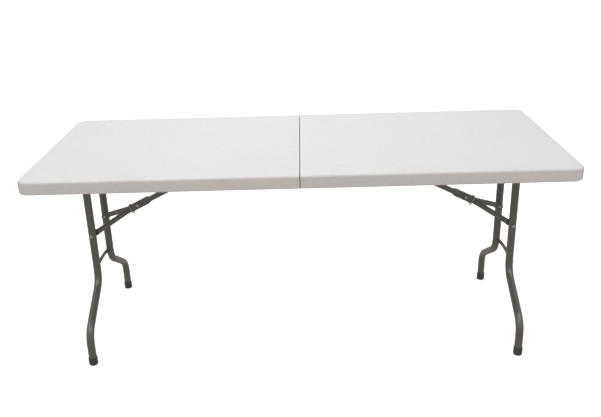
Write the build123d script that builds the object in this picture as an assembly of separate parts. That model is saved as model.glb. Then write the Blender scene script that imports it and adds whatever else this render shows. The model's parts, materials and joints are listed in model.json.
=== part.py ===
from build123d import *
import os
from math import atan2, cos, degrees, hypot, sin

# A fold-in-half utility table, open for use. The origin is on the floor under the middle
# of the table, +X runs along its length, +Y across it and +Z up. Sizes are millimetres.
# Each half is a ribbed plastic top on two steel rails, with a leg frame that folds up
# under it and a locking brace. Pieces are drawn on the right (+X) and, where there are
# two across the width, at the back (+Y), then mirrored to their other places.

# ---- Driving dimensions: the top ----
LENGTH = 1830.0
WIDTH = 760.0
HEIGHT = 740.0
SKIRT_DEPTH = 46.0
PANEL = 14.0
SKIRT = 22.0
SEAM_GAP = 0.6
SEAM_WALL_END = 20.0
CORNER_RADIUS = 40.0
TOP_EDGE_RADIUS = 9.0
LOWER_EDGE_RADIUS = 7.0
SEAM_EDGE_RADIUS = 2.5
BAY_CORNER_RADIUS = 10.0
RING_POCKET = (270.0, 360.0, 20.0, 734.5)

# ---- Rails, bearings and screws ----
RAIL_INNER_Y = 318.0
RAIL_WIDTH = 20.0
RAIL_DEPTH = 22.0
RAIL_WALL = 1.5
RAIL_END_X = 885.0
RAIL_SCREW_X = (150.0, 370.0, 590.0, 835.0)
BEARING_WIDTH = 16.0
BEARING_HALF_LENGTH = 26.0
BEARING_RADIUS = 15.0
BEARING_SCREW_OFFSET = 20.5
SCREW_RADIUS = 2.0
SCREW_HEAD_RADIUS = 4.2
SCREW_HEAD = 2.2
SCREW_TIP_Z = 734.0

# ---- Centre hinges ----
HINGE_Z = 692.5
EAR_RADIUS = 9.0
HINGE_PLATE = 3.0
HINGE_PLATE_LENGTH = 100.0
HINGE_PIN_RADIUS = 3.5
HINGE_NOTCH = (308.0, 348.0, 716.0)
HINGE_RIVET_X = (45.0, 80.0)
HINGE_RIVET_RADIUS = 2.5
HINGE_RIVET_HEAD_RADIUS = 5.0
HINGE_RIVET_HEAD = 2.2

# ---- Leg frames ----
LEG_X = 776.0
LEG_PIVOT_Z = 709.0
LEG_TOP_Y = 98.0
LEG_FOOT_Y = 296.0
LEG_BEND_TOP_Z = 243.0
LEG_BEND_LOW_Z = 123.0
LEG_BEND_RADIUS = 75.0
LEG_RADIUS = 14.0
LEG_WALL = 1.2
PIVOT_RADIUS = 12.5
PIVOT_WALL = 1.5
PIVOT_HALF_LENGTH = 317.5
CROSSBAR_RADIUS = 6.5
CROSSBAR_OFFSET = 10.4
CROSSBAR_END_Z = 276.0
CROSSBAR_MID_Z = 284.0
CAP_RADIUS = 16.0
CAP_HEIGHT = 30.0
CAP_SOLE = 6.0
CAP_EDGE = 2.5

# ---- Braces ----
BRACE_TOP_X = 196.0
BRACE_TOP_Z = 716.0
BRACE_LEG_Z = 427.0
LINK_HALF_WIDTH = 7.0
LINK_WALL = 2.0
LINK_NARROW = 18.0
LINK_WIDE = 27.0
LINK_WIDE_BEFORE = 46.0
LINK_WIDE_AFTER = 30.0
LINK_FLARE = 10.0
TOP_PIN_RADIUS = 3.0
KNUCKLE_PIN_RADIUS = 3.5
KNUCKLE_HEAD_RADIUS = 4.8
KNUCKLE_HEAD = (10.0, 11.4)
BRACKET_EAR = (7.4, 9.9)
BRACKET_FLANGE_Y = 32.0
BRACKET_HALF_LENGTH = 22.0
BRACKET_EAR_RADIUS = 9.0
BRACKET_SCREWS = (14.0, 22.0)
ARM_RADIUS = 10.0
TAB_HEIGHT = 24.0
TAB_THICKNESS = 2.5
KNUCKLE_TAB_Y = 7.3
KNUCKLE_TAB_LENGTH = 33.0
LEG_TAB_Y = 81.1
LEG_TAB_LENGTH = 18.0
ARM_START = (52.0, 18.5)
ARM_END = (38.0, 71.0)
LEG_RIVET_RADIUS = 4.0
LEG_WASHER_RADIUS = 5.6
LEG_RIVET_HEAD_RADIUS = 4.4
RING_WIRE_RADIUS = 2.0
RING_INNER = (24.5, 31.0)
RING_CORNER = 7.0
RING_PLACE = 28.0
RING_DROP = 1.2

# ---- Carry handle ----
HANDLE_X = 457.0
HANDLE_Y = 369.0
HANDLE_Z = 705.0
HANDLE_NOTCH_HALF = 70.0
HANDLE_NOTCH_TOP = 716.0
HANDLE_HALF_SPAN = 60.0
HANDLE_DROP = 58.0
HANDLE_RADIUS = 6.0
HANDLE_BEND = 18.0
HANDLE_EYE = (7.5, 12.0)
HANDLE_PIN_RADIUS = 3.0
HANDLE_PIN_DEPTH = 12.0

RUNNING_CLEARANCE = 0.06

# ---- Worked out from the driving dimensions ----
PANEL_BOTTOM = HEIGHT - PANEL
SKIRT_BOTTOM = HEIGHT - SKIRT_DEPTH
BAY_END_X = LENGTH / 2 - SKIRT
BAY_HALF_WIDTH = WIDTH / 2 - SKIRT
RAIL_OUTER_Y = RAIL_INNER_Y + RAIL_WIDTH
RAIL_BOTTOM = PANEL_BOTTOM - RAIL_DEPTH
BRACE_RUN = LEG_X - BRACE_TOP_X
BRACE_FALL = BRACE_TOP_Z - BRACE_LEG_Z
BRACE_SLOPE = degrees(atan2(BRACE_FALL, BRACE_RUN))
# Open, the brace is straight; folded, its two parts lie side by side.
REACH_OPEN = hypot(BRACE_RUN, BRACE_FALL)
REACH_FOLDED = hypot(BRACE_RUN - (LEG_PIVOT_Z - BRACE_LEG_Z), BRACE_TOP_Z - LEG_PIVOT_Z)
LINK_LENGTH = (REACH_OPEN + REACH_FOLDED) / 2
ARM_LENGTH = (REACH_OPEN - REACH_FOLDED) / 2


def block(x0, x1, y0, y1, z0, z1):
    """A rectangular block between two corners."""
    centre = Pos((x0 + x1) / 2, (y0 + y1) / 2, (z0 + z1) / 2)
    return centre * Box(x1 - x0, y1 - y0, z1 - z0)


def bar(start, direction, radius, length):
    """A round bar from a point, along a direction."""
    return extrude(Plane(origin=start, z_dir=direction) * Circle(radius), length)


def bar_y(x, z, radius, y0, y1):
    """A round bar across the table."""
    return bar((x, y0, z), (0, 1, 0), radius, y1 - y0)


def plate_y(outline, y0, y1):
    """A flat shape, drawn with X across and Z up, made into a plate from y0 to y1."""
    side_view = Plane(origin=(0, y0, 0), x_dir=(1, 0, 0), z_dir=(0, -1, 0))
    return extrude(side_view * outline, y1 - y0, dir=(0, 1, 0))


def group(solids):
    """Several separate solids as one shape."""
    return Compound(children=list(solids))


def mirrored(shape, plane):
    """The mirror image of a solid or of a group of solids."""
    return group(solid.mirror(plane) for solid in shape.solids())


def top_screw_places():
    """Each screw that goes up into the right panel: X, Y and the face under its head."""
    places = []
    for side in (-1, 1):
        rail_y = side * (RAIL_INNER_Y + RAIL_WIDTH / 2)
        places += [(x, rail_y, RAIL_BOTTOM) for x in RAIL_SCREW_X]
        bearing_y = side * (RAIL_INNER_Y - BEARING_WIDTH / 2)
        for end in (-1, 1):
            places.append((LEG_X + end * BEARING_SCREW_OFFSET, bearing_y, LEG_PIVOT_Z))
            along, across = BRACKET_SCREWS
            flange = PANEL_BOTTOM - TAB_THICKNESS
            places.append((BRACE_TOP_X + end * along, side * across, flange))
    return places


def top_screws():
    """Pan-head screws, as a group."""
    screws = []
    for x, y, z in top_screw_places():
        head = bar((x, y, z), (0, 0, -1), SCREW_HEAD_RADIUS, SCREW_HEAD)
        head = fillet(head.faces().sort_by(Axis.Z)[0].edges(), SCREW_HEAD / 2)
        screws.append(head + bar((x, y, z), (0, 0, 1), SCREW_RADIUS, SCREW_TIP_Z - z))
    return group(screw.solid() for screw in screws)


def without_top_screws(piece):
    """Cut the screws' holes in a piece."""
    for x, y, z in top_screw_places():
        piece -= bar((x, y, z), (0, 0, 1), SCREW_RADIUS, SCREW_TIP_Z - z)
    return piece


def tabletop(with_handle):
    """One half of the top: a panel with a skirt all round, open underneath."""
    half_width = WIDTH / 2
    top = block(SEAM_GAP / 2, LENGTH / 2, -half_width, half_width, SKIRT_BOTTOM, HEIGHT)
    top = fillet(top.edges().filter_by(Axis.Z).group_by(Axis.X)[-1], CORNER_RADIUS)
    upper_rim = top.faces().sort_by(Axis.Z)[-1].edges().sort_by(Axis.X)[1:]
    top = fillet(upper_rim, TOP_EDGE_RADIUS)
    lower_rim = top.faces().sort_by(Axis.Z)[0].edges().sort_by(Axis.X)[1:]
    top = fillet(lower_rim, LOWER_EDGE_RADIUS)
    seam_rim = top.faces().sort_by(Axis.X)[0].edges().filter_by(
        lambda edge: edge.center().Z > HEIGHT - TOP_EDGE_RADIUS
    )
    top = fillet(seam_rim, SEAM_EDGE_RADIUS)

    bay = block(SEAM_WALL_END, BAY_END_X, -BAY_HALF_WIDTH, BAY_HALF_WIDTH,
                SKIRT_BOTTOM - 1, PANEL_BOTTOM)
    top -= fillet(bay.edges().filter_by(Axis.Z), BAY_CORNER_RADIUS)
    pocket_x0, pocket_x1, pocket_y, pocket_z = RING_POCKET
    top -= block(pocket_x0, pocket_x1, -pocket_y, pocket_y, SKIRT_BOTTOM, pocket_z)

    notch_y0, notch_y1, notch_z = HINGE_NOTCH
    for y0, y1 in ((notch_y0, notch_y1), (-notch_y1, -notch_y0)):
        top -= block(0, SEAM_WALL_END + 1, y0, y1, SKIRT_BOTTOM - 1, notch_z)
    top -= block(HANDLE_X - HANDLE_NOTCH_HALF, HANDLE_X + HANDLE_NOTCH_HALF,
                 BAY_HALF_WIDTH - 1, half_width + 1, SKIRT_BOTTOM - 1, HANDLE_NOTCH_TOP)
    if with_handle:
        top -= handle_pins()
    return without_top_screws(top)


def rail(outer_plate):
    """A box-section rail beside the leg bay, at the back."""
    outside = block(SEAM_WALL_END, RAIL_END_X, RAIL_INNER_Y, RAIL_OUTER_Y,
                    RAIL_BOTTOM, PANEL_BOTTOM)
    inside = block(SEAM_WALL_END - 1, RAIL_END_X + 1,
                   RAIL_INNER_Y + RAIL_WALL, RAIL_OUTER_Y - RAIL_WALL,
                   RAIL_BOTTOM + RAIL_WALL, PANEL_BOTTOM - RAIL_WALL)
    return without_top_screws(outside - inside) - hinge_rivets(outer_plate)


def bearing():
    """A block that carries one end of the leg frame's pivot tube, at the back."""
    y0 = RAIL_INNER_Y - BEARING_WIDTH
    body = block(LEG_X - BEARING_HALF_LENGTH, LEG_X + BEARING_HALF_LENGTH,
                 y0, RAIL_INNER_Y, LEG_PIVOT_Z, PANEL_BOTTOM)
    body += bar_y(LEG_X, LEG_PIVOT_Z, BEARING_RADIUS, y0, RAIL_INNER_Y)
    bore = PIVOT_RADIUS + RUNNING_CLEARANCE
    body -= bar_y(LEG_X, LEG_PIVOT_Z, bore, y0 - 1, RAIL_INNER_Y + 1)
    return without_top_screws(body)


def hinge_plate_y(outer_plate):
    """The Y range of a hinge plate: on the rail's outer side or its inner side."""
    if outer_plate:
        return RAIL_OUTER_Y, RAIL_OUTER_Y + HINGE_PLATE
    return RAIL_INNER_Y - HINGE_PLATE, RAIL_INNER_Y


def hinge_plate(outer_plate):
    """A leaf riveted to a rail's side, with an ear that reaches the fold axis."""
    y0, y1 = hinge_plate_y(outer_plate)
    leaf = Polygon(
        (22, RAIL_BOTTOM + 1), (HINGE_PLATE_LENGTH, RAIL_BOTTOM + 1),
        (HINGE_PLATE_LENGTH, PANEL_BOTTOM - 1), (30, PANEL_BOTTOM - 1), (22, PANEL_BOTTOM - 13),
        align=None,
    )
    neck = Polygon((7, HINGE_Z - 5.6), (30, RAIL_BOTTOM + 1), (30, HINGE_Z + 20),
                   (14, HINGE_Z + 19), (-4, HINGE_Z + 8), align=None)
    ear = Pos(0, HINGE_Z) * Circle(EAR_RADIUS)
    plate = plate_y(leaf + neck + ear, y0, y1)
    # The inner plates hold the pin and the outer ones turn on it.
    bore = HINGE_PIN_RADIUS + (RUNNING_CLEARANCE if outer_plate else 0)
    plate -= bar_y(0, HINGE_Z, bore, y0 - 1, y1 + 1)
    return plate - hinge_rivets(outer_plate)


def hinge_pin():
    """A headed pin through one inner and one outer ear, at the back."""
    y0 = RAIL_INNER_Y - HINGE_PLATE
    y1 = RAIL_OUTER_Y + HINGE_PLATE + 0.3
    head = 2.2
    pin = bar_y(0, HINGE_Z, HINGE_PIN_RADIUS, y0 - head, y1 + head)
    for start in (y0 - head, y1):
        pin += bar_y(0, HINGE_Z, HINGE_PIN_RADIUS + 2, start, start + head)
    return pin


def hinge_rivets(outer_plate):
    """The rivets of one hinge plate, at the back."""
    y0 = min(RAIL_INNER_Y, hinge_plate_y(outer_plate)[0])
    y1 = max(RAIL_OUTER_Y, hinge_plate_y(outer_plate)[1])
    z = RAIL_BOTTOM + RAIL_DEPTH / 2
    rivets = []
    for x in HINGE_RIVET_X:
        rivet = bar_y(x, z, HINGE_RIVET_RADIUS, y0, y1)
        rivet += bar_y(x, z, HINGE_RIVET_HEAD_RADIUS, y0 - HINGE_RIVET_HEAD, y0)
        rivet += bar_y(x, z, HINGE_RIVET_HEAD_RADIUS, y1, y1 + HINGE_RIVET_HEAD)
        rivets.append(rivet.solid())
    return group(rivets)


def leg_path():
    """The centre-line of the back leg: down, outwards at a slant and down again."""
    return FilletPolyline(
        (LEG_X, LEG_TOP_Y, LEG_PIVOT_Z),
        (LEG_X, LEG_TOP_Y, LEG_BEND_TOP_Z),
        (LEG_X, LEG_FOOT_Y, LEG_BEND_LOW_Z),
        (LEG_X, LEG_FOOT_Y, CAP_SOLE),
        radius=LEG_BEND_RADIUS,
    )


def leg_start():
    """The plane across the top of the back leg."""
    return Plane(origin=(LEG_X, LEG_TOP_Y, LEG_PIVOT_Z), z_dir=(0, 0, -1))


def leg_tube():
    """A bent leg tube, notched over the pivot tube and pierced for the brace's rivet."""
    section = Circle(LEG_RADIUS) - Circle(LEG_RADIUS - LEG_WALL)
    tube = sweep(leg_start() * section, path=leg_path())
    tube -= bar_y(LEG_X, LEG_PIVOT_Z, PIVOT_RADIUS, 0, LEG_FOOT_Y)
    return tube - bar_y(LEG_X, BRACE_LEG_Z, LEG_RIVET_RADIUS, 0, LEG_FOOT_Y)


def pivot_tube():
    """The tube that both legs are welded to, which turns in the two bearings."""
    half = PIVOT_HALF_LENGTH
    tube = bar_y(LEG_X, LEG_PIVOT_Z, PIVOT_RADIUS, -half, half)
    return tube - bar_y(LEG_X, LEG_PIVOT_Z, PIVOT_RADIUS - PIVOT_WALL, -half, half)


def crossbar():
    """A thin arched bar between the two legs, on their outer side."""
    x = LEG_X + CROSSBAR_OFFSET
    arch = ThreePointArc((x, -LEG_TOP_Y, CROSSBAR_END_Z), (x, 0, CROSSBAR_MID_Z),
                         (x, LEG_TOP_Y, CROSSBAR_END_Z))
    rod = sweep(Plane(origin=arch @ 0, z_dir=arch % 0) * Circle(CROSSBAR_RADIUS), path=arch)
    leg = sweep(leg_start() * Circle(LEG_RADIUS), path=leg_path())
    rod -= leg
    rod -= leg.mirror(Plane.XZ)
    return rod.solids().sort_by(SortBy.VOLUME)[-1]


def foot_cap():
    """A cap pushed over the end of the back leg."""
    cap = bar((LEG_X, LEG_FOOT_Y, 0), (0, 0, 1), CAP_RADIUS, CAP_HEIGHT)
    cap = fillet(cap.faces().sort_by(Axis.Z)[0].edges(), CAP_EDGE)
    cap = fillet(cap.faces().sort_by(Axis.Z)[-1].edges(), 1)
    return cap - bar((LEG_X, LEG_FOOT_Y, CAP_SOLE), (0, 0, 1), LEG_RADIUS, CAP_HEIGHT)


def leg_rivets():
    """Each leg's half of the brace pivot: a shank through the tube, a washer and a head."""
    inner = LEG_TOP_Y - LEG_RADIUS
    outer = LEG_TOP_Y + LEG_RADIUS
    rivet = bar_y(LEG_X, BRACE_LEG_Z, LEG_WASHER_RADIUS, outer - 3, outer + 1.5)
    rivet -= bar((LEG_X, LEG_TOP_Y, BRACE_LEG_Z - 20), (0, 0, 1), LEG_RADIUS, 40)
    rivet += bar_y(LEG_X, BRACE_LEG_Z, LEG_RIVET_RADIUS, inner, outer + 1.5)
    head = bar_y(LEG_X, BRACE_LEG_Z, LEG_RIVET_HEAD_RADIUS, outer + 1.5, outer + 4.5)
    rivet += fillet(head.faces().sort_by(Axis.Y)[-1].edges(), 2)
    back = rivet.solids().sort_by(SortBy.VOLUME)[-1]
    return group([back, back.mirror(Plane.XZ)])


def at_top_pivot(shape):
    """Place a shape drawn from the brace's top pivot, x along the open brace."""
    return Pos(BRACE_TOP_X, 0, BRACE_TOP_Z) * Rot(0, BRACE_SLOPE, 0) * shape


def at_knuckle(shape):
    """Place a shape drawn from the knuckle, x along the open brace towards the leg."""
    return at_top_pivot(Pos(LINK_LENGTH, 0, 0) * shape)


def link_outline(inset, lower):
    """The link's side: narrow, then flared to a deep channel around the knuckle."""
    narrow = LINK_NARROW / 2 - inset
    wide = LINK_WIDE / 2 - inset
    flare_end = LINK_LENGTH - LINK_WIDE_BEFORE
    flare_start = flare_end - LINK_FLARE
    end = LINK_LENGTH + LINK_WIDE_AFTER
    upper = [(end, wide), (flare_end, wide), (flare_start, narrow), (0, narrow)]
    if lower:
        return Polygon(*[(x, -z) for x, z in reversed(upper)], *upper, align=None)
    below = -LINK_WIDE
    return Polygon((-LINK_NARROW, below), (end + 1, below), (end + 1, wide), *upper,
                   (-LINK_NARROW, narrow), align=None)


def upper_link():
    """The long part of the brace: a pressed channel, open below."""
    outline = link_outline(0, True) + Circle(LINK_NARROW / 2)
    link = plate_y(outline, -LINK_HALF_WIDTH, LINK_HALF_WIDTH)
    inner = LINK_HALF_WIDTH - LINK_WALL
    link -= plate_y(link_outline(LINK_WALL, False), -inner, inner)
    link -= bar_y(0, 0, TOP_PIN_RADIUS + RUNNING_CLEARANCE, -20, 20)
    link -= bar_y(LINK_LENGTH, 0, KNUCKLE_PIN_RADIUS, -20, 20)
    return at_top_pivot(link)


def knuckle_pin():
    """The rivet through the link and both arms."""
    start, end = KNUCKLE_HEAD
    pin = bar_y(0, 0, KNUCKLE_PIN_RADIUS, -start, start)
    head = bar_y(0, 0, KNUCKLE_HEAD_RADIUS, start, end)
    head = fillet(head.faces().sort_by(Axis.Y)[-1].edges(), 1)
    return at_knuckle(pin + head + head.mirror(Plane.XZ))


def rounded_tab(x_pivot, x_end, y0):
    """A flattened tube end: round about a pivot, square towards the tube."""
    middle = (x_pivot + x_end) / 2
    outline = Pos(x_pivot, 0) * Circle(TAB_HEIGHT / 2)
    outline += Pos(middle, 0) * Rectangle(abs(x_end - x_pivot), TAB_HEIGHT)
    return plate_y(outline, y0, y0 + TAB_THICKNESS)


def brace_arm():
    """The back arm of the V: a round tube with both ends pressed flat."""
    start_x, start_y = ARM_START
    end_x, end_y = ARM_LENGTH - ARM_END[0], ARM_END[1]
    start, end = Vector(start_x, start_y, 0), Vector(end_x, end_y, 0)
    slant = end - start
    tube = bar(start, slant, ARM_RADIUS, slant.length)

    flat = Ellipse(TAB_THICKNESS / 2, TAB_HEIGHT / 2 - 1.5)
    flat_start = (KNUCKLE_TAB_LENGTH - 3, KNUCKLE_TAB_Y + TAB_THICKNESS / 2, 0)
    flat_end = (ARM_LENGTH - LEG_TAB_LENGTH + 3, LEG_TAB_Y + TAB_THICKNESS / 2, 0)
    for flat_at, round_at in ((flat_start, start), (flat_end, end)):
        towards = Vector(1, 0, 0)
        pressed = Plane(origin=flat_at, x_dir=(0, 1, 0), z_dir=towards) * flat
        across = Vector(0, 0, 1).cross(slant)
        full = Plane(origin=round_at, x_dir=across, z_dir=slant) * Circle(ARM_RADIUS)
        tube += loft([pressed, full])

    tube += rounded_tab(0, KNUCKLE_TAB_LENGTH, KNUCKLE_TAB_Y)
    tube += rounded_tab(ARM_LENGTH, ARM_LENGTH - LEG_TAB_LENGTH, LEG_TAB_Y)
    tube -= bar_y(0, 0, KNUCKLE_PIN_RADIUS + RUNNING_CLEARANCE, 0, 20)
    tube -= bar_y(ARM_LENGTH, 0, LEG_RIVET_RADIUS, LEG_TAB_Y - 10, LEG_TAB_Y + 10)
    return at_knuckle(tube)


def arm_rivets():
    """Each arm's half of the leg pivot: a shank and a low head on the inner face."""
    rivet = bar_y(ARM_LENGTH, 0, LEG_RIVET_RADIUS, LEG_TAB_Y - 1, LEG_TAB_Y + TAB_THICKNESS)
    head = bar_y(ARM_LENGTH, 0, LEG_RIVET_HEAD_RADIUS, LEG_TAB_Y - 2.5, LEG_TAB_Y)
    rivet += fillet(head.faces().sort_by(Axis.Y)[0].edges(), 1.5)
    back = at_knuckle(rivet).solid()
    return group([back, back.mirror(Plane.XZ)])


def lock_ring():
    """A wire ring that slides along the brace, and locks it when it is over the knuckle."""
    width = RING_INNER[0] + 2 * RING_WIRE_RADIUS
    height = RING_INNER[1] + 2 * RING_WIRE_RADIUS
    centre = Plane(origin=(RING_PLACE, 0, -RING_DROP), x_dir=(0, 1, 0), z_dir=(1, 0, 0))
    path = (centre * RectangleRounded(width, height, RING_CORNER)).wire()
    wire = Plane(origin=path @ 0, z_dir=path % 0) * Circle(RING_WIRE_RADIUS)
    return at_knuckle(sweep(wire, path=path))


def brace_brackets():
    """Two angle brackets that hold the link's top pin, one each side of it."""
    ear_y0, ear_y1 = BRACKET_EAR
    flange_z = PANEL_BOTTOM - TAB_THICKNESS
    half = BRACKET_HALF_LENGTH
    web = Polygon((-BRACKET_EAR_RADIUS, BRACE_TOP_Z), (BRACKET_EAR_RADIUS, BRACE_TOP_Z),
                  (half, PANEL_BOTTOM), (-half, PANEL_BOTTOM), align=None)
    ear = web + Pos(0, BRACE_TOP_Z) * Circle(BRACKET_EAR_RADIUS)
    bracket = plate_y(Pos(BRACE_TOP_X, 0) * ear, ear_y0, ear_y1)
    bracket += block(BRACE_TOP_X - half, BRACE_TOP_X + half, ear_y0, BRACKET_FLANGE_Y,
                     flange_z, PANEL_BOTTOM)
    bracket -= bar_y(BRACE_TOP_X, BRACE_TOP_Z, TOP_PIN_RADIUS, 0, 20)
    back = without_top_screws(bracket).solid()
    return group([back, back.mirror(Plane.XZ)])


def top_pin():
    """The headed pin through the brackets and the link's top end."""
    outside = BRACKET_EAR[1]
    pin = bar_y(BRACE_TOP_X, BRACE_TOP_Z, TOP_PIN_RADIUS, -outside, outside)
    for start in (-outside - 2, outside):
        pin += bar_y(BRACE_TOP_X, BRACE_TOP_Z, TOP_PIN_RADIUS + 1.5, start, start + 2)
    return pin


def handle_pins():
    """Two short pins in the sides of the skirt's notch, drawn on the right."""
    length = HANDLE_NOTCH_HALF - HANDLE_HALF_SPAN + HANDLE_EYE[1] / 2 + HANDLE_PIN_DEPTH
    pins = []
    for side in (-1, 1):
        x = HANDLE_X + side * (HANDLE_NOTCH_HALF + HANDLE_PIN_DEPTH)
        pins.append(bar((x, HANDLE_Y, HANDLE_Z), (-side, 0, 0), HANDLE_PIN_RADIUS, length))
    return group(pin.solid() for pin in pins)


def carry_handle():
    """A bail that hangs from the two pins, drawn on the right."""
    x0 = HANDLE_X - HANDLE_HALF_SPAN
    x1 = HANDLE_X + HANDLE_HALF_SPAN
    low = HANDLE_Z - HANDLE_DROP
    path = FilletPolyline((x0, HANDLE_Y, HANDLE_Z), (x0, HANDLE_Y, low),
                          (x1, HANDLE_Y, low), (x1, HANDLE_Y, HANDLE_Z), radius=HANDLE_BEND)
    section = Plane(origin=(x0, HANDLE_Y, HANDLE_Z), z_dir=(0, 0, -1)) * Circle(HANDLE_RADIUS)
    handle = sweep(section, path=path)
    eye_radius, eye_length = HANDLE_EYE
    for x in (x0, x1):
        start = (x - eye_length / 2, HANDLE_Y, HANDLE_Z)
        handle += bar(start, (1, 0, 0), eye_radius, eye_length)
    bore = HANDLE_PIN_RADIUS + RUNNING_CLEARANCE
    return handle - bar((x0 - 20, HANDLE_Y, HANDLE_Z), (1, 0, 0), bore, x1 - x0 + 40)


def save(node, shape):
    """Write one sub-part."""
    export_step(shape, f"parts/{node}.step")


def save_pair(node, shape):
    """Write a right-hand piece and its mirror image on the left."""
    save(f"{node}_right", shape)
    save(f"{node}_left", mirrored(shape, Plane.YZ))


def save_back_and_front(node, shape):
    """Write a back piece and its mirror image at the front."""
    save(f"{node}_back", shape)
    save(f"{node}_front", mirrored(shape, Plane.XZ))


def save_four(node, shape):
    """Write a back right piece and its three mirror images."""
    save_back_and_front(f"{node}_right", shape)
    save_back_and_front(f"{node}_left", mirrored(shape, Plane.YZ))


def save_all():
    """Write every sub-part."""
    os.makedirs("parts", exist_ok=True)
    save("tabletop_right", tabletop(False))
    save("tabletop_left", mirrored(tabletop(True), Plane.YZ))
    for side, outer_plate in (("right", True), ("left", False)):
        pieces = [rail(outer_plate), hinge_plate(outer_plate), hinge_rivets(outer_plate)]
        if side == "left":
            pieces = [mirrored(piece, Plane.YZ) for piece in pieces]
        side_rail, plate, rivets = pieces
        save_back_and_front(f"side_rail_{side}", side_rail)
        save_back_and_front(f"hinge_plate_{side}", plate)
        both_rivets = rivets.solids() + mirrored(rivets, Plane.XZ).solids()
        save(f"hinge_rivets_{side}", group(both_rivets))
    save_back_and_front("hinge_pin", hinge_pin())
    save_four("pivot_bearing", bearing())
    save_pair("top_screws", top_screws())

    save_four("leg_tube", leg_tube())
    save_four("foot_cap", foot_cap())
    save_pair("pivot_tube", pivot_tube())
    save_pair("leg_crossbar", crossbar())
    save_pair("leg_rivets", leg_rivets())

    save_pair("brace_brackets", brace_brackets())
    save_pair("brace_top_pin", top_pin())
    save_pair("upper_link", upper_link())
    save_pair("knuckle_pin", knuckle_pin())
    save_four("brace_arm", brace_arm())
    save_pair("arm_rivets", arm_rivets())
    save_pair("lock_ring", lock_ring())

    save("carry_handle", mirrored(carry_handle(), Plane.YZ))
    save("handle_pins", mirrored(handle_pins(), Plane.YZ))


save_all()
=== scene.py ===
import json
from math import cos, pi, radians, sin

import bmesh
import bpy
from mathutils import Matrix, Vector


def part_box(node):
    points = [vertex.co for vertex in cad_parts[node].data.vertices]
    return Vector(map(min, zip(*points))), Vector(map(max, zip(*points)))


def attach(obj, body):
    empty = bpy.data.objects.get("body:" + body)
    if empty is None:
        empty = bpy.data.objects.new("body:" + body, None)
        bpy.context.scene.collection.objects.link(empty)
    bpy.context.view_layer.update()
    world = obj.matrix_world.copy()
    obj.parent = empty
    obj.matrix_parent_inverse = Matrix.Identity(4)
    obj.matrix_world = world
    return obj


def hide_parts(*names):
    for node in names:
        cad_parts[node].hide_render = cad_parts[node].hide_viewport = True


# A fold-in-half utility table on a pale studio floor. Everything is in metres, in the
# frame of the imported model: +X along the table, +Y away from the camera, +Z up.

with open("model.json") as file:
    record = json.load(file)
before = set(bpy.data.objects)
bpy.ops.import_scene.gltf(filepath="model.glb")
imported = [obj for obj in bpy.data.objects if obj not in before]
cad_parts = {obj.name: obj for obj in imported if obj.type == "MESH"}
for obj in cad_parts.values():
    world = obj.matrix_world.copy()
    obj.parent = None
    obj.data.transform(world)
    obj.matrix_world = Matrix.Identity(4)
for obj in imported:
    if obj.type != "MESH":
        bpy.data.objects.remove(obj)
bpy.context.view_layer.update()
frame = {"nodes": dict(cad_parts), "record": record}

SIDES = ("left", "right")
ENDS = ("front", "back")
MM = 0.001

# ---- Camera ----
CAMERA_PLACE = (0.0181, -2.5767, 1.5178)
CAMERA_YAW = -0.0086
CAMERA_DOWN = 0.3849
CAMERA_ROLL = -0.0286
CAMERA_LENS = 43.88
CAMERA_SENSOR = 36.0

# ---- Light ----
SURROUND = [
    (0.0, (0.43, 0.385, 0.355)),
    (0.44, (0.44, 0.395, 0.365)),
    (0.56, (0.52, 0.50, 0.485)),
    (1.0, (0.70, 0.705, 0.74)),
]
OVERHEAD_PLACE = (-0.2, 0.5, 2.9)
OVERHEAD_TARGET = (-0.2, 0.2, 0.7)
OVERHEAD_SIZE = 2.0
OVERHEAD_POWER = 24
FRONT_PLACE = (-0.4, -3.0, 2.8)
FRONT_TARGET = (0, -0.3, 0.3)
FRONT_SIZE = 0.8
FRONT_POWER = 7
SIDE_PLACE = (2.7, -2.6, 1.5)
SIDE_TARGET = (0, 0, 0.7)
SIDE_SIZE = 0.9
SIDE_POWER = 3
STRIP_PLACE = (2.15, -2.0, 3.2)
STRIP_SIZE = (0.8, 2.6)
STRIP_POWER = 42
WHITE = (1, 1, 1)
WARM = (1.0, 0.84, 0.71)
FLOOR_GLOW = 0.65

# ---- Stage ----
STAGE_Z = -0.0004
STAGE_FLAT = 9.0
STAGE_CURVE = 8.0
STAGE_TURN = 150
STAGE_STEPS = 24
STAGE_SIDES = 96

# ---- Meshes ----
SHARP_ANGLE = 35
ARC_STEPS = 10
WELD = 0.001 * MM
# How far a cutter runs on past a face, outside the piece and inside it.
CUT_OUTSIDE = 5 * MM
CUT_INSIDE = 1 * MM

# ---- Tabletop shell ----
TABLE_HEIGHT = 740 * MM
HALF_WIDTH = 380 * MM
SKIRT = 22 * MM
SEAM_WALL = 19 * MM
CORNER_RADIUS = 40 * MM
SEAM_CORNER_RADIUS = 3 * MM
SEAM_SETBACK = 0.85 * MM
SEAM_GROOVE = 6 * MM
SEAM_LIP_REACH = 0.22 * MM
SEAM_END = 8 * MM
SEAM_STEP = 0.5 * MM
# How far below the seam's step its two loops run round the other sides.
STEP_DROPS = (3 * MM, 4 * MM)
# The painted shade in the joint: half widths of its bands, and its lower reach at the two ends.
SHADE_ACROSS = 2 * MM
SHADE_REACH = 2.5 * MM
SHADE_EDGE = 0.4 * MM
SHADE_CORNER_DROP = 23 * MM
SHADE_CORNER_REACH = 25 * MM
TOP_ROUND = 9 * MM
BOTTOM_ROUND = 7 * MM
SEAM_TOP_ROUND = 1.8 * MM
SEAM_BOTTOM_ROUND = 1 * MM
BAY_CORNER_RADIUS = 10 * MM
INNER_ROUND = 1.5 * MM
PANEL_BELOW = 14 * MM
PANEL_LAP = 0.5 * MM
PANEL_WELD = 0.01 * MM
SKIN = 4.5 * MM
TILE = 45 * MM
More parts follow.
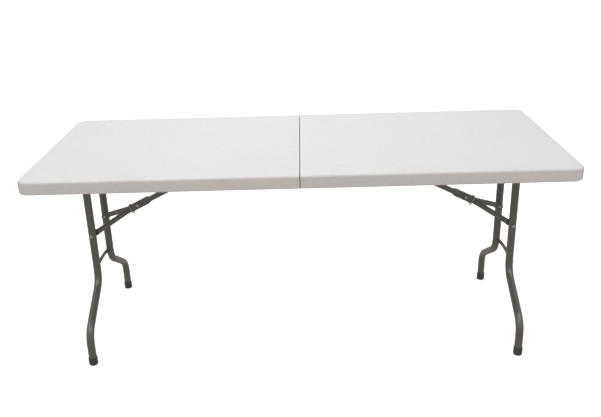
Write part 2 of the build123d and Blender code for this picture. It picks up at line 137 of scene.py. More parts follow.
# The radius and rise of each ring of a dimple, from its rim to its floor.
DIMPLE_RINGS = [
    (11.5 * MM, 0),
    (10.6 * MM, 0.35 * MM),
    (9.9 * MM, 1.3 * MM),
    (7.7 * MM, 5.2 * MM),
    (6.5 * MM, 6 * MM),
]
DIMPLE_POINTS = 16
# The near side, far side and top of the notch for a hinge plate.
HINGE_NOTCH = (308 * MM, 348 * MM, 716 * MM)
HANDLE_NOTCH_X = 457 * MM
HANDLE_NOTCH_HALF = 70 * MM
HANDLE_NOTCH_TOP = 716 * MM
HANDLE_NOTCH_BELOW = 30 * MM
HANDLE_NOTCH_ROUND = 8 * MM
# The near end, far end, half width and top of the pocket a lock ring swings up into.
RING_POCKET = (270 * MM, 360 * MM, 20 * MM, 734.5 * MM)

# ---- Leg frames ----
LEG_RADIUS = 14 * MM
LEG_TOP_Y = 98 * MM
PIVOT_RADIUS = 12.5 * MM
CROSSBAR_END_Z = 276 * MM
CROSSBAR_SLOPE = 0.164
BEAD_RADIUS = 2.1 * MM
BEAD_SIDES = 10
BEAD_LUMP = 0.14
BEAD_LUMP_TURN = 2.1
BEAD_END = 0.35
BEAD_SHARP = 60
SADDLE_POINTS = 56
FILLET_POINTS = 28
FILLET_FROM = 62
FILLET_SWEEP = 236
CAP_STEPS = 48
CAP_HEIGHT = 30 * MM
CAP_SOLE = 6 * MM
CAP_WALL = 2 * MM
CAP_FIT = 0.05 * MM
# Edges as (outward, upward) steps from the wall at the sole and at the rim.
CAP_SOLE_EDGE = [(-3.2 * MM, 0), (-1.2 * MM, 0.6 * MM), (0, 2.6 * MM)]
CAP_RIM_EDGE = [(0, -1.2 * MM), (-0.5 * MM, -0.2 * MM), (-1.2 * MM, 0)]
CAP_BORE_EDGE = 0.8 * MM
CAP_GROOVES = (9 * MM, 13 * MM, 17 * MM)
# Half of a groove's mouth, half of its floor, and its depth.
CAP_GROOVE_SHAPE = (1.2 * MM, 0.5 * MM, 0.8 * MM)

# ---- Screws and handle ----
# The radius and height of each corner of a screw, from its crown up to its cut-off shank.
SCREW_PROFILE = [
    (0, 0),
    (1.6 * MM, 0.06 * MM),
    (3 * MM, 0.4 * MM),
    (3.9 * MM, 1.1 * MM),
    (4.2 * MM, 1.8 * MM),
    (4.2 * MM, 2.2 * MM),
    (2 * MM, 2.2 * MM),
    (2 * MM, 4.4 * MM),
    (0, 4.4 * MM),
]
SCREW_STEPS = 24
SCREW_TURN = 1.7
RECESS_ARM = 2.4 * MM
RECESS_WIDTH = 0.9 * MM
RECESS_DEPTH = 1.3 * MM
RECESS_ABOVE = 1 * MM
HANDLE_RADIUS = 6 * MM
GRIP_RADIUS = 8.2 * MM
GRIP_HALF_LENGTH = 37 * MM
GRIP_GROOVES = 9
GRIP_END = 6 * MM
GRIP_BEVEL = 1 * MM
# Half of a groove's mouth, half of its floor, and its depth.
GRIP_GROOVE_SHAPE = (1.8 * MM, 0.8 * MM, 0.9 * MM)
GRIP_STEPS = 32


def add_camera():
    """The camera, about twice as high as the table and looking down at it."""
    forward = Vector((sin(CAMERA_YAW) * cos(CAMERA_DOWN), cos(CAMERA_YAW) * cos(CAMERA_DOWN),
                      -sin(CAMERA_DOWN)))
    level = Vector((cos(CAMERA_YAW), -sin(CAMERA_YAW), 0))
    upward = level.cross(forward)
    right = level * cos(CAMERA_ROLL) + upward * sin(CAMERA_ROLL)
    up = upward * cos(CAMERA_ROLL) - level * sin(CAMERA_ROLL)
    data = bpy.data.cameras.new("camera")
    data.lens = CAMERA_LENS
    data.sensor_width = CAMERA_SENSOR
    camera = bpy.data.objects.new("camera", data)
    turn = Matrix((right, up, -forward)).transposed().to_4x4()
    camera.matrix_world = Matrix.Translation(CAMERA_PLACE) @ turn
    bpy.context.scene.collection.objects.link(camera)
    bpy.context.scene.camera = camera


def add_light(name, place, power):
    """An area light facing down that the camera doesn't see."""
    light = bpy.data.objects.new(name, bpy.data.lights.new(name, "AREA"))
    light.data.energy = power
    light.location = place
    light.visible_camera = False
    bpy.context.scene.collection.objects.link(light)
    return light


def add_area_light(name, place, target, size, power, colour):
    """A soft square light at a place, aimed at a target."""
    light = add_light(name, place, power)
    light.data.size = size
    light.data.color = colour
    aim = Vector(target) - Vector(place)
    light.rotation_euler = aim.to_track_quat("-Z", "Y").to_euler()


def add_strip_light(name, place, size, power):
    """A long light facing down that shows only as a glint in shiny surfaces."""
    light = add_light(name, place, power)
    light.data.shape = "RECTANGLE"
    light.data.size, light.data.size_y = size
    light.visible_diffuse = False


def as_mesh(build, name):
    """The mesh of a finished build."""
    mesh = bpy.data.meshes.new(name)
    build.to_mesh(mesh)
    build.free()
    return mesh


def ring(build, radius, height, count):
    """Points round a level circle about the Z axis."""
    turns = [i / count * 2 * pi for i in range(count)]
    return [build.verts.new((radius * cos(t), radius * sin(t), height)) for t in turns]


def bridge(build, first, second):
    """A band of quads between two rings of as many points."""
    for i in range(len(first)):
        j = (i + 1) % len(first)
        build.faces.new((first[i], second[i], second[j], first[j]))


def add_floor():
    """A bright floor that curves up all round."""
    build = bmesh.new()
    rings = []
    for step in range(STAGE_STEPS + 1):
        turn = step / STAGE_STEPS * radians(STAGE_TURN)
        radius = STAGE_FLAT + STAGE_CURVE * sin(turn)
        height = STAGE_Z + STAGE_CURVE * (1 - cos(turn))
        rings.append(ring(build, radius, height, STAGE_SIDES))
    build.faces.new(rings[0])
    for inner, outer in zip(rings, rings[1:]):
        bridge(build, inner, outer)
    mesh = as_mesh(build, "floor")
    mesh.shade_smooth()
    mesh.materials.append(floor_material())
    floor = bpy.data.objects.new("floor", mesh)
    bpy.context.scene.collection.objects.link(floor)
    floor.visible_diffuse = False
    floor.visible_glossy = False
    floor.visible_shadow = False


def add_surround():
    """A soft light from all round, cool above and warm below."""
    world = bpy.data.worlds.new("surround")
    world.use_nodes = True
    tree = world.node_tree
    direction = tree.nodes.new("ShaderNodeTexCoord")
    split = tree.nodes.new("ShaderNodeSeparateXYZ")
    tree.links.new(direction.outputs["Generated"], split.inputs["Vector"])
    height = tree.nodes.new("ShaderNodeMapRange")
    height.inputs["From Min"].default_value = -1
    height.inputs["From Max"].default_value = 1
    tree.links.new(split.outputs["Z"], height.inputs["Value"])
    glow = add_ramp(tree, height.outputs["Result"], SURROUND)
    tree.links.new(glow, tree.nodes["Background"].inputs["Color"])
    bpy.context.scene.world = world


def add_studio():
    """The floor, the surround and the lights, shown with a plain view transform."""
    add_floor()
    add_surround()
    bpy.context.scene.view_settings.view_transform = "Standard"
    add_area_light("overhead", OVERHEAD_PLACE, OVERHEAD_TARGET, OVERHEAD_SIZE, OVERHEAD_POWER,
                   WHITE)
    add_area_light("front", FRONT_PLACE, FRONT_TARGET, FRONT_SIZE, FRONT_POWER, WARM)
    for side, across in (("left", -1), ("right", 1)):
        place = (SIDE_PLACE[0] * across, *SIDE_PLACE[1:])
        add_area_light(f"front_{side}", place, SIDE_TARGET, SIDE_SIZE, SIDE_POWER, WARM)
        place = (STRIP_PLACE[0] * across, *STRIP_PLACE[1:])
        add_strip_light(f"strip_{side}", place, STRIP_SIZE, STRIP_POWER)


# ---- Materials ----

def start_material(name):
    """A node material with its tree, its shader and its object-space coordinates."""
    material = bpy.data.materials.new(name)
    material.use_nodes = True
    tree = material.node_tree
    shader = tree.nodes["Principled BSDF"]
    place = tree.nodes.new("ShaderNodeTexCoord")
    return material, tree, shader, place.outputs["Object"]


def add_noise(tree, coordinates, scale, detail=3.0, roughness=0.5):
    """Noise at a scale in cells per metre."""
    noise = tree.nodes.new("ShaderNodeTexNoise")
    noise.inputs["Scale"].default_value = scale
    noise.inputs["Detail"].default_value = detail
    noise.inputs["Roughness"].default_value = roughness
    tree.links.new(coordinates, noise.inputs["Vector"])
    return noise.outputs["Fac"]


def add_ramp(tree, value, stops):
    """A colour ramp from (position, colour) stops."""
    ramp = tree.nodes.new("ShaderNodeValToRGB")
    elements = ramp.color_ramp.elements
    while len(elements) < len(stops):
        elements.new(0.5)
    for element, (position, colour) in zip(elements, stops):
        element.position = position
        element.color = (*colour, 1)
    tree.links.new(value, ramp.inputs["Fac"])
    return ramp.outputs["Color"]


def add_mix(tree, factor, first, second):
    """A colour between two colours."""
    mix = tree.nodes.new("ShaderNodeMix")
    mix.data_type = "RGBA"
    tree.links.new(factor, mix.inputs["Factor"])
    for colour, socket in ((first, mix.inputs[6]), (second, mix.inputs[7])):
        if isinstance(colour, tuple):
            socket.default_value = (*colour, 1)
        else:
            tree.links.new(colour, socket)
    return mix.outputs[2]


def add_range(tree, value, low, high):
    """A value from 0 to 1 stretched to a range."""
    stretch = tree.nodes.new("ShaderNodeMapRange")
    stretch.inputs["To Min"].default_value = low
    stretch.inputs["To Max"].default_value = high
    tree.links.new(value, stretch.inputs["Value"])
    return stretch.outputs["Result"]


def add_bump(tree, shader, layers):
    """Bumps from (height, strength, distance) layers, one over another."""
    normal = None
    for height, strength, distance in layers:
        bump = tree.nodes.new("ShaderNodeBump")
        bump.inputs["Strength"].default_value = strength
        bump.inputs["Distance"].default_value = distance
        tree.links.new(height, bump.inputs["Height"])
        if normal is not None:
            tree.links.new(normal, bump.inputs["Normal"])
        normal = bump.outputs["Normal"]
    tree.links.new(normal, shader.inputs["Normal"])


def add_math(tree, operation, first, second=0.0):
    """The result of a sum on a value and another value or number."""
    step = tree.nodes.new("ShaderNodeMath")
    step.operation = operation
    tree.links.new(first, step.inputs[0])
    if isinstance(second, (int, float)):
        step.inputs[1].default_value = second
    else:
        tree.links.new(second, step.inputs[1])
    return step.outputs[0]


def add_band(tree, value, centre, half_width):
    """1 where a value lies near a centre and 0 away from it."""
    distance = add_math(tree, "ABSOLUTE", add_math(tree, "SUBTRACT", value, centre))
    band = tree.nodes.new("ShaderNodeMapRange")
    band.inputs["From Min"].default_value = half_width - SHADE_EDGE
    band.inputs["From Max"].default_value = half_width
    band.inputs["To Min"].default_value = 1
    band.inputs["To Max"].default_value = 0
    tree.links.new(distance, band.inputs["Value"])
    return band.outputs["Result"]


# Painted shade: a mask for the dark shade painted into the seam between the two halves.
def seam_painted_shade(tree, place):
    """1 in the step of the joint between the halves and at its two ends, the bands painted dark as
    shade.
    """
    split = tree.nodes.new("ShaderNodeSeparateXYZ")
    tree.links.new(place, split.inputs["Vector"])
    across, along, up = split.outputs["X"], split.outputs["Y"], split.outputs["Z"]
    ledge = TABLE_HEIGHT - SEAM_GROOVE
    step = add_band(tree, up, ledge, SHADE_REACH)
    between = add_band(tree, along, 0, HALF_WIDTH - SEAM_END)
    where = add_math(tree, "MULTIPLY", step, between)
    below = add_band(tree, up, ledge - SHADE_CORNER_DROP, SHADE_CORNER_REACH)
    for end in (SEAM_END - HALF_WIDTH, HALF_WIDTH - SEAM_END):
        corner = add_math(tree, "MULTIPLY", add_band(tree, along, end, SHADE_REACH), below)
        where = add_math(tree, "MAXIMUM", where, corner)
    joint = add_band(tree, across, 0, SHADE_ACROSS)
    return add_math(tree, "MULTIPLY", joint, where)


def floor_material():
    """A matt, pale studio floor."""
    material, tree, shader, place = start_material("studio_floor")
    mottle = add_noise(tree, place, 0.8)
    colour = add_mix(tree, mottle, (0.86, 0.86, 0.855), (0.89, 0.89, 0.885))
    tree.links.new(colour, shader.inputs["Base Color"])
    shader.inputs["Roughness"].default_value = 0.9
    shader.inputs["Emission Color"].default_value = (1, 1, 1, 1)
    shader.inputs["Emission Strength"].default_value = FLOOR_GLOW
    return material


def top_plastic():
    """White moulded polyethylene with a fine pebble grain and faint mottling."""
    material, tree, shader, place = start_material("top_plastic")
    broad = add_noise(tree, place, 2.2, 2)
    fine = add_noise(tree, place, 60, 5, 0.6)
    tone = add_mix(tree, broad, (0.80, 0.79, 0.778), (0.84, 0.832, 0.822))
    specks = add_ramp(tree, fine, [(0.30, (0.93, 0.93, 0.93)), (0.55, (1, 1, 1))])
    shade = tree.nodes.new("ShaderNodeMix")
    shade.data_type = "RGBA"
    shade.blend_type = "MULTIPLY"
    shade.inputs["Factor"].default_value = 0.6
    tree.links.new(tone, shade.inputs[6])
    tree.links.new(specks, shade.inputs[7])
    # Painted shade: the seam's step and its two ends are painted near-black, standing in for the
    # shade inside the joint.
    colour = add_mix(tree, seam_painted_shade(tree, place), shade.outputs[2], (0.05, 0.048, 0.045))
    tree.links.new(colour, shader.inputs["Base Color"])

    pebble = tree.nodes.new("ShaderNodeTexVoronoi")
    pebble.feature = "SMOOTH_F1"
    pebble.inputs["Scale"].default_value = 620
    pebble.inputs["Smoothness"].default_value = 0.6
    tree.links.new(place, pebble.inputs["Vector"])
    ripple = add_noise(tree, place, 240, 2)
    sag = add_noise(tree, place, 9, 1)
    add_bump(tree, shader, [
        (sag, 0.25, 0.0012),
        (ripple, 0.25, 0.0003),
        (pebble.outputs["Distance"], 0.35, 0.0003),
    ])
    gloss = add_range(tree, fine, 0.42, 0.56)
    tree.links.new(gloss, shader.inputs["Roughness"])
    shader.inputs["Specular IOR Level"].default_value = 0.42
    return material


def frame_coating():
    """Dark warm grey powder coat: satin, with orange peel and a few rubbed marks."""
    material, tree, shader, place = start_material("frame_coating")
    patches = add_noise(tree, place, 14, 3)
    grain = add_noise(tree, place, 900, 2)
    tone = add_mix(tree, patches, (0.120, 0.121, 0.107), (0.165, 0.166, 0.150))
    scuffs = add_noise(tree, place, 95, 8, 0.72)
    worn = add_ramp(tree, scuffs, [(0.69, (0, 0, 0)), (0.76, (1, 1, 1))])
    colour = add_mix(tree, worn, tone, (0.20, 0.195, 0.18))
    tree.links.new(colour, shader.inputs["Base Color"])
    gloss = add_range(tree, patches, 0.24, 0.36)
    tree.links.new(gloss, shader.inputs["Roughness"])
    peel = add_noise(tree, place, 420, 2)
    add_bump(tree, shader, [(peel, 0.30, 0.0002), (grain, 0.15, 0.0001)])
    shader.inputs["Metallic"].default_value = 0.25
    shader.inputs["Specular IOR Level"].default_value = 0.7
    shader.inputs["Coat Weight"].default_value = 0.15
    shader.inputs["Coat Roughness"].default_value = 0.25
    return material


def dark_plastic(name, dark, light, roughness, grain):
    """Matt moulded plastic with a fine grain and some dust."""
    material, tree, shader, place = start_material(name)
    cloud = add_noise(tree, place, 30, 4)
    colour = add_mix(tree, cloud, dark, light)
    tree.links.new(colour, shader.inputs["Base Color"])
    gloss = add_range(tree, cloud, roughness - 0.08, roughness + 0.08)
    tree.links.new(gloss, shader.inputs["Roughness"])
    pits = add_noise(tree, place, grain, 3)
    add_bump(tree, shader, [(pits, 0.35, 0.0002)])
    return material


def zinc_plate():
    """Bright zinc plating, cloudy, with fine rubbed lines."""
    material, tree, shader, place = start_material("zinc")
    cloud = add_noise(tree, place, 70, 4)
    colour = add_mix(tree, cloud, (0.46, 0.46, 0.435), (0.62, 0.62, 0.59))
    tree.links.new(colour, shader.inputs["Base Color"])
    gloss = add_range(tree, cloud, 0.26, 0.46)
    tree.links.new(gloss, shader.inputs["Roughness"])
    shader.inputs["Metallic"].default_value = 0.9
    lines = add_noise(tree, place, 700, 3)
    add_bump(tree, shader, [(lines, 0.2, 0.0001)])
    return material


# ---- Mesh helpers ----

def add_mesh(name, mesh, material):
    """An object for a mesh, with one material."""
    mesh.materials.clear()
    mesh.materials.append(material)
    piece = bpy.data.objects.new(name, mesh)
    bpy.context.scene.collection.objects.link(piece)
    return piece


def finish_mesh(mesh, sharp_angle=SHARP_ANGLE):
    """Outward normals, smooth faces and sharp creases."""
    build = bmesh.new()
    build.from_mesh(mesh)
    bmesh.ops.recalc_face_normals(build, faces=build.faces)
    build.to_mesh(mesh)
    build.free()
    mesh.shade_smooth()
    mesh.set_sharp_from_angle(angle=radians(sharp_angle))


def corner_arc(centre, radius, start):
    """Points round a quarter turn from a start angle in quarter turns."""
    return [(centre[0] + radius * cos((start + step / ARC_STEPS) * pi / 2),
             centre[1] + radius * sin((start + step / ARC_STEPS) * pi / 2))
            for step in range(ARC_STEPS + 1)]


def half_loop(low, high, outer, seam, outer_radius, seam_radius, notch):
    """An anticlockwise plan loop of a half top, inset from its outer and seam sides.

    The ends of the seam side are set back by a further notch. Each point comes with 1 on
    the seam side and 0 on the others, blended round the corners."""
    x0, x1 = low.x + seam, high.x - outer
    y0, y1 = low.y + outer, high.y - outer
    corners = (
        ((x1 - outer_radius, y1 - outer_radius), outer_radius, 0),
        ((x0 + notch + seam_radius, y1 - seam_radius), seam_radius, 1),
        ((x0 + notch + seam_radius, y0 + seam_radius), seam_radius, 2),
        ((x1 - outer_radius, y0 + outer_radius), outer_radius, 3),
    )
    end = max(SEAM_END, seam_radius + SEAM_STEP)
    points = []
    for centre, radius, start in corners:
        if start == 2:
            points += [(x0 + notch, y1 - end, 1), (x0, y1 - end - SEAM_STEP, 1),
                       (x0, y0 + end + SEAM_STEP, 1), (x0 + notch, y0 + end, 1)]
        for step, (x, y) in enumerate(corner_arc(centre, radius, start)):
            blend = step / ARC_STEPS
            weight = (0, blend, 1 - blend, 0)[start]
            points.append((x, y, weight))
    return points


def tray(low, high):
    """The shell of a half top as a closed mesh: rounded rims, a skirt and a flat ceiling."""
    levels = []

    def level(outer, seam, z_outer, z_seam, outer_radius, seam_radius, notch=0.0):
        loop = half_loop(low, high, outer, seam, outer_radius, seam_radius, notch)
        levels.append([(x, y, z_outer * (1 - w) + z_seam * w) for x, y, w in loop])

    top, bottom = high.z, low.z
    for step in range(ARC_STEPS + 1):
        turn = step / ARC_STEPS * pi / 2
        inward, drop = 1 - sin(turn), 1 - cos(turn)
        outer, seam = TOP_ROUND * inward, SEAM_SETBACK + SEAM_TOP_ROUND * inward
        level(outer, seam, top - TOP_ROUND * drop, top - SEAM_TOP_ROUND * drop,
              CORNER_RADIUS - outer, SEAM_CORNER_RADIUS)
    ledge = top - SEAM_GROOVE
    setback = SEAM_SETBACK + SEAM_LIP_REACH
    level(0, SEAM_SETBACK, ledge - STEP_DROPS[0], ledge, CORNER_RADIUS, SEAM_CORNER_RADIUS)
    level(0, -SEAM_LIP_REACH, ledge - STEP_DROPS[1], ledge - SEAM_STEP, CORNER_RADIUS,
          SEAM_CORNER_RADIUS, setback)
    for step in range(ARC_STEPS + 1):
        turn = step / ARC_STEPS * pi / 2
        inward, rise = 1 - cos(turn), 1 - sin(turn)
        outer, seam = BOTTOM_ROUND * inward, SEAM_BOTTOM_ROUND * inward - SEAM_LIP_REACH
        level(outer, seam, bottom + BOTTOM_ROUND * rise, bottom + SEAM_BOTTOM_ROUND * rise,
              CORNER_RADIUS - outer, SEAM_CORNER_RADIUS, setback)
    for step in range(ARC_STEPS + 1):
        turn = step / ARC_STEPS * pi / 2
        inset = INNER_ROUND * (1 - sin(turn))
        z = bottom + INNER_ROUND * (1 - cos(turn))
        level(SKIRT - inset, SEAM_WALL - inset, z, z, BAY_CORNER_RADIUS + inset,
              BAY_CORNER_RADIUS + inset)
    ceiling = top - SKIN
    level(SKIRT, SEAM_WALL, ceiling, ceiling, BAY_CORNER_RADIUS, BAY_CORNER_RADIUS)

    count = len(levels[0])
    vertices = [point for loop in levels for point in loop]
    faces = []
    for number in range(len(levels) - 1):
        upper, lower = number * count, (number + 1) * count
        for i in range(count):
            j = (i + 1) % count
            faces.append((upper + i, lower + i, lower + j, upper + j))
    faces.append(tuple(range(count)))
    faces.append(tuple(reversed(range(len(vertices) - count, len(vertices)))))
    mesh = bpy.data.meshes.new("tray")
    mesh.from_pydata(vertices, [], faces)
    return mesh


def dimpled_panel(low, high):
    """The under skin of a half top: a closed slab with a grid of round recesses below."""
    x0, x1 = low.x + SEAM_WALL - PANEL_LAP, high.x - SKIRT + PANEL_LAP
    y0, y1 = low.y + SKIRT - PANEL_LAP, high.y - SKIRT + PANEL_LAP
    under = high.z - PANEL_BELOW
    upper = high.z - SKIN + PANEL_LAP
    columns, rows = round((x1 - x0) / TILE), round((y1 - y0) / TILE)
    width, depth = (x1 - x0) / columns, (y1 - y0) / rows
    per_side = DIMPLE_POINTS // 4
    edge = [(-0.5 + i / per_side, -0.5) for i in range(per_side)]
    square = edge + [(-y, x) for x, y in edge]
    square += [(-x, -y) for x, y in edge] + [(y, -x) for x, y in edge]

    build = bmesh.new()
    for column in range(columns):
        for row in range(rows):
            cx, cy = x0 + (column + 0.5) * width, y0 + (row + 0.5) * depth
            loops = [[build.verts.new((cx + x * width, cy + y * depth, under)) for x, y in square]]
            for radius, rise in DIMPLE_RINGS:
                turns = [(i / DIMPLE_POINTS - 0.375) * 2 * pi for i in range(DIMPLE_POINTS)]
                places = [(cx + radius * cos(t), cy + radius * sin(t)) for t in turns]
                loops.append([build.verts.new((x, y, under + rise)) for x, y in places])
            for outer, inner in zip(loops, loops[1:]):
                bridge(build, outer, inner)
            build.faces.new(reversed(loops[-1]))
    bmesh.ops.remove_doubles(build, verts=build.verts, dist=PANEL_WELD)
    rim = [e for e in build.edges if e.is_boundary]
    wall = bmesh.ops.extrude_edge_only(build, edges=rim)["geom"]
    for vertex in (v for v in wall if isinstance(v, bmesh.types.BMVert)):
        vertex.co.z = upper
    bmesh.ops.holes_fill(build, edges=[e for e in build.edges if e.is_boundary], sides=0)
    bmesh.ops.recalc_face_normals(build, faces=build.faces)
    return as_mesh(build, "panel")


def cutter_box(x0, x1, y0, y1, z0, z1, rounding):
    """A block, with its edges along Y rounded, to cut a notch with."""
    build = bmesh.new()
    bmesh.ops.create_cube(build, size=1)
    for vertex in build.verts:
        x, y, z = vertex.co
        vertex.co = ((x0, x1)[x > 0], (y0, y1)[y > 0], (z0, z1)[z > 0])
    if rounding:
        long_edges = [e for e in build.edges if abs(e.verts[0].co.y - e.verts[1].co.y) > 1e-5]
        bmesh.ops.bevel(build, geom=long_edges, offset=rounding, segments=6,
                        profile=0.5, affect="EDGES")
    cutter = bpy.data.objects.new("cutter", as_mesh(build, "cutter"))
    bpy.context.scene.collection.objects.link(cutter)
    return cutter


def cut(mesh, cutters):
    """The mesh with the cutters taken out of it."""
    body = bpy.data.objects.new("body", mesh)
    bpy.context.scene.collection.objects.link(body)
    for cutter in cutters:
        step = body.modifiers.new("cut", "BOOLEAN")
        step.operation = "DIFFERENCE"
        step.solver = "EXACT"
        step.object = cutter
    bpy.context.view_layer.update()
    shown = body.evaluated_get(bpy.context.evaluated_depsgraph_get())
    result = bpy.data.meshes.new_from_object(shown)
    for used in (body, *cutters):
        bpy.data.objects.remove(used)
    return result


def joined(meshes):
    """Several meshes as one."""
    build = bmesh.new()
    for mesh in meshes:
        build.from_mesh(mesh)
    return as_mesh(build, "joined")


def mirrored(mesh):
    """The mesh reflected left to right."""
    mesh.transform(Matrix.Scale(-1, 4, (1, 0, 0)))
    mesh.flip_normals()
    return mesh


def build_tabletop(side, material):
    """A half top, made on the right and mirrored for the left."""
    low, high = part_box(f"tabletop_{side}")
    if side == "left":
        low, high = Vector((-high.x, low.y, low.z)), Vector((-low.x, high.y, high.z))
    notch_y0, notch_y1, notch_z = HINGE_NOTCH
    below = low.z - CUT_OUTSIDE
    notches = [
        cutter_box(low.x - CUT_OUTSIDE, low.x + SEAM_WALL + CUT_INSIDE, y0, y1, below, notch_z, 0)
        for y0, y1 in ((notch_y0, notch_y1), (-notch_y1, -notch_y0))
    ]
    notches.append(cutter_box(
        HANDLE_NOTCH_X - HANDLE_NOTCH_HALF, HANDLE_NOTCH_X + HANDLE_NOTCH_HALF,
        high.y - SKIRT - CUT_INSIDE, high.y + CUT_OUTSIDE,
        low.z - HANDLE_NOTCH_BELOW, HANDLE_NOTCH_TOP, HANDLE_NOTCH_ROUND,
    ))
    shell = cut(tray(low, high), notches)
    pocket_x0, pocket_x1, pocket_y, pocket_z = RING_POCKET
    pocket = cutter_box(pocket_x0, pocket_x1, -pocket_y, pocket_y, below, pocket_z, 0)
    panel = cut(dimpled_panel(low, high), [pocket])
    whole = joined([shell, panel])
    if side == "left":
        whole = mirrored(whole)
    finish_mesh(whole)
    piece = add_mesh(f"moulded_top_{side}", whole, material)
    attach(piece, f"{side}_half")
    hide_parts(f"tabletop_{side}")


def lathe(profile, steps):
    """A mesh turned about the Z axis from (radius, height) points; both ends close."""
    build = bmesh.new()
    rings = []
    for radius, height in profile:
        if radius == 0:
            rings.append([build.verts.new((0, 0, height))] * steps)
            continue
        rings.append(ring(build, radius, height, steps))
    for lower, upper in zip(rings, rings[1:]):
        for i in range(steps):
            j = (i + 1) % steps
            corners = []
            for vertex in (lower[i], lower[j], upper[j], upper[i]):
                if vertex not in corners:
                    corners.append(vertex)
            build.faces.new(corners)
    return as_mesh(build, "turned")


def groove(radius, height, mouth, floor, depth):
    """Profile points of a groove round a turned shape, from half widths and a depth."""
    return [(radius, height - mouth), (radius - depth, height - floor),
            (radius - depth, height + floor), (radius, height + mouth)]


def moved(mesh, matrix):
    """A transformed copy of a mesh."""
    copy = mesh.copy()
    copy.transform(matrix)
    return copy


def build_foot_caps(material):
    """A moulded cap with a rolled rim and three grip grooves on each foot."""
    outer = LEG_RADIUS + CAP_WALL
    bore = LEG_RADIUS + CAP_FIT
    profile = [(0, 0)] + [(outer + across, height) for across, height in CAP_SOLE_EDGE]
    for height in CAP_GROOVES:
        profile += groove(outer, height, *CAP_GROOVE_SHAPE)
    profile += [(outer + across, CAP_HEIGHT + height) for across, height in CAP_RIM_EDGE]
    profile += [(bore, CAP_HEIGHT - CAP_BORE_EDGE), (bore, CAP_SOLE), (0, CAP_SOLE)]
    shape = lathe(profile, CAP_STEPS)
    for side in SIDES:
        for end in ENDS:
            node = f"foot_cap_{side}_{end}"
            low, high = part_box(node)
            centre = ((low.x + high.x) / 2, (low.y + high.y) / 2, low.z)
            mesh = moved(shape, Matrix.Translation(centre))
            finish_mesh(mesh)
            cap = add_mesh(f"ribbed_cap_{side}_{end}", mesh, material)
            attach(cap, f"{side}_leg_frame")
            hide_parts(node)


def bead(points, closed):
    """A lumpy bead of weld along a line of points, tapered at open ends."""
    count = len(points)
    build = bmesh.new()
    rings = []
    first = None
    for i, point in enumerate(points):
        before = points[i - 1] if closed or i else point
        after = points[(i + 1) % count] if closed or i < count - 1 else point
        along = (after - before).normalized()
        first = along.orthogonal() if first is None else first - along * first.dot(along)
        first.normalize()
        second = along.cross(first)
        radius = BEAD_RADIUS * (1 + BEAD_LUMP * sin(i * BEAD_LUMP_TURN))
        if not closed:
            taper = sin(pi * i / (count - 1)) ** 0.5
            radius *= BEAD_END + (1 - BEAD_END) * taper
        turns = [k / BEAD_SIDES * 2 * pi for k in range(BEAD_SIDES)]
        rings.append([build.verts.new(point + (first * cos(t) + second * sin(t)) * radius)
                      for t in turns])
    pairs = list(zip(rings, rings[1:]))
    if closed:
        pairs.append((rings[-1], rings[0]))
    else:
        build.faces.new(rings[0])
        build.faces.new(rings[-1])
    for lower, upper in pairs:
        bridge(build, lower, upper)
    return as_mesh(build, "bead")


def build_welds(side, material):
    """The welds of a leg frame: each leg to the pivot tube, and the crossbar to each leg."""
    bar_low, bar_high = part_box(f"leg_crossbar_{side}")
    bar_x = (bar_low.x + bar_high.x) / 2
    bar_radius = (bar_high.x - bar_low.x) / 2
    tube_low, tube_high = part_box(f"pivot_tube_{side}")
    leg_x = (tube_low.x + tube_high.x) / 2
    pivot_z = (tube_low.z + tube_high.z) / 2
    away = abs(bar_x) - abs(leg_x)
    outward = 1 if leg_x > 0 else -1
    beads = []
    for across in (-1, 1):
        saddle = []
        for i in range(SADDLE_POINTS):
            turn = i / SADDLE_POINTS * 2 * pi
            x, y = LEG_RADIUS * cos(turn), LEG_RADIUS * sin(turn)
            drop = max(0, PIVOT_RADIUS ** 2 - x ** 2) ** 0.5
            saddle.append(Vector((leg_x + x, across * LEG_TOP_Y + y, pivot_z - drop)))
        beads.append(bead(saddle, True))
        fillet = []
        for i in range(FILLET_POINTS):
            turn = radians(FILLET_FROM + FILLET_SWEEP * i / (FILLET_POINTS - 1))
            x = away + bar_radius * cos(turn)
            inward = max(0, LEG_RADIUS ** 2 - x ** 2) ** 0.5
            height = CROSSBAR_END_Z + bar_radius * sin(turn) + inward * CROSSBAR_SLOPE
            fillet.append(Vector((leg_x + outward * x, across * (LEG_TOP_Y - inward), height)))
        beads.append(bead(fillet, False))
    mesh = joined(beads)
    finish_mesh(mesh, BEAD_SHARP)
    piece = add_mesh(f"weld_beads_{side}", mesh, material)
    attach(piece, f"{side}_leg_frame")


def welded(mesh):
    """A build from a mesh with its coincident points made one."""
    build = bmesh.new()
    build.from_mesh(mesh)
    bmesh.ops.remove_doubles(build, verts=build.verts, dist=WELD)
    return build


def islands(mesh):
    """The lowest and highest corners of each separate part of a mesh, in order of place."""
    build = welded(mesh)
    waiting = set(build.verts)
    boxes = []
    while waiting:
        stack = [waiting.pop()]
        places = []
        while stack:
            vertex = stack.pop()
            places.append(vertex.co.copy())
            for edge in vertex.link_edges:
                other = edge.other_vert(vertex)
                if other in waiting:
                    waiting.remove(other)
                    stack.append(other)
        low = Vector(min(place[k] for place in places) for k in range(3))
        high = Vector(max(place[k] for place in places) for k in range(3))
        boxes.append((low, high))
    build.free()
    return sorted(boxes, key=lambda box: box[0][:])


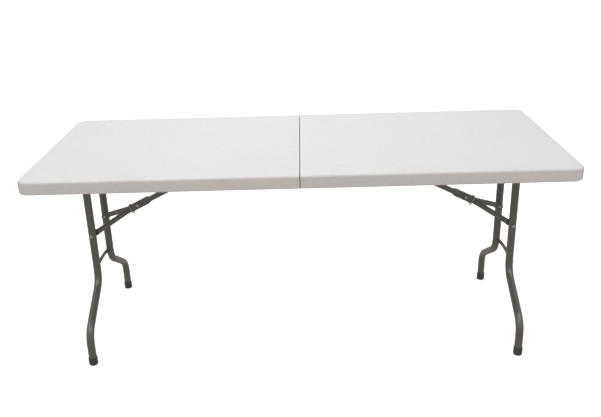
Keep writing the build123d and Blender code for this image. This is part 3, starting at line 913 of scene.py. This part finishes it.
def build_screws(side, material):
    """Pan-head screws with cross recesses, in place of the plain ones."""
    half = RECESS_WIDTH / 2
    head = cut(lathe(SCREW_PROFILE, SCREW_STEPS), [
        cutter_box(-RECESS_ARM, RECESS_ARM, -half, half, -RECESS_ABOVE, RECESS_DEPTH, 0),
        cutter_box(-half, half, -RECESS_ARM, RECESS_ARM, -RECESS_ABOVE, RECESS_DEPTH, 0),
    ])
    screws = []
    for number, (low, high) in enumerate(islands(frame["nodes"][f"top_screws_{side}"].data)):
        centre = Vector(((low.x + high.x) / 2, (low.y + high.y) / 2, low.z))
        turn = Matrix.Rotation(number * SCREW_TURN, 4, "Z")
        screws.append(moved(head, Matrix.Translation(centre) @ turn))
    mesh = joined(screws)
    finish_mesh(mesh)
    piece = add_mesh(f"cross_head_screws_{side}", mesh, material)
    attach(piece, f"{side}_half")
    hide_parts(f"top_screws_{side}")


def build_grip(material):
    """A soft ribbed sleeve on the carry handle's straight part."""
    low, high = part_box("carry_handle")
    wire = HANDLE_RADIUS
    end, bevel = GRIP_HALF_LENGTH, GRIP_BEVEL
    profile = [(wire, -end), (GRIP_RADIUS - bevel, -end), (GRIP_RADIUS, bevel - end)]
    step = 2 * (end - GRIP_END) / (GRIP_GROOVES - 1)
    for number in range(GRIP_GROOVES):
        profile += groove(GRIP_RADIUS, GRIP_END - end + number * step, *GRIP_GROOVE_SHAPE)
    profile += [(GRIP_RADIUS, end - bevel), (GRIP_RADIUS - bevel, end), (wire, end), (wire, -end)]
    centre = Vector(((low.x + high.x) / 2, (low.y + high.y) / 2, low.z + wire))
    lie = Matrix.Translation(centre) @ Matrix.Rotation(pi / 2, 4, "Y")
    mesh = as_mesh(welded(moved(lathe(profile, GRIP_STEPS), lie)), "grip")
    finish_mesh(mesh)
    piece = add_mesh("handle_grip", mesh, material)
    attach(piece, "carry_handle")


def give_materials(materials):
    """Each CAD piece gets the finish of its material slot."""
    slots = {row["node"]: row["material_slot"] for row in frame["record"]["subparts"]}
    for node, piece in frame["nodes"].items():
        finish = materials[slots[node]]
        for place in piece.material_slots:
            place.material = finish


add_camera()
add_studio()
MATERIALS = {
    "top_plastic": top_plastic(),
    "frame_coating": frame_coating(),
    "foot_rubber": dark_plastic(
        "foot_rubber", (0.042, 0.041, 0.038), (0.078, 0.076, 0.071), 0.55, 500),
    "bearing_plastic": dark_plastic(
        "bearing_plastic", (0.05, 0.05, 0.05), (0.075, 0.074, 0.072), 0.5, 650),
    "handle_plastic": dark_plastic(
        "handle_plastic", (0.05, 0.048, 0.046), (0.075, 0.071, 0.068), 0.5, 600),
    "zinc": zinc_plate(),
}
give_materials(MATERIALS)
for side in SIDES:
    build_tabletop(side, MATERIALS["top_plastic"])
    build_welds(side, MATERIALS["frame_coating"])
    build_screws(side, MATERIALS["zinc"])
build_foot_caps(MATERIALS["foot_rubber"])
build_grip(MATERIALS["handle_plastic"])
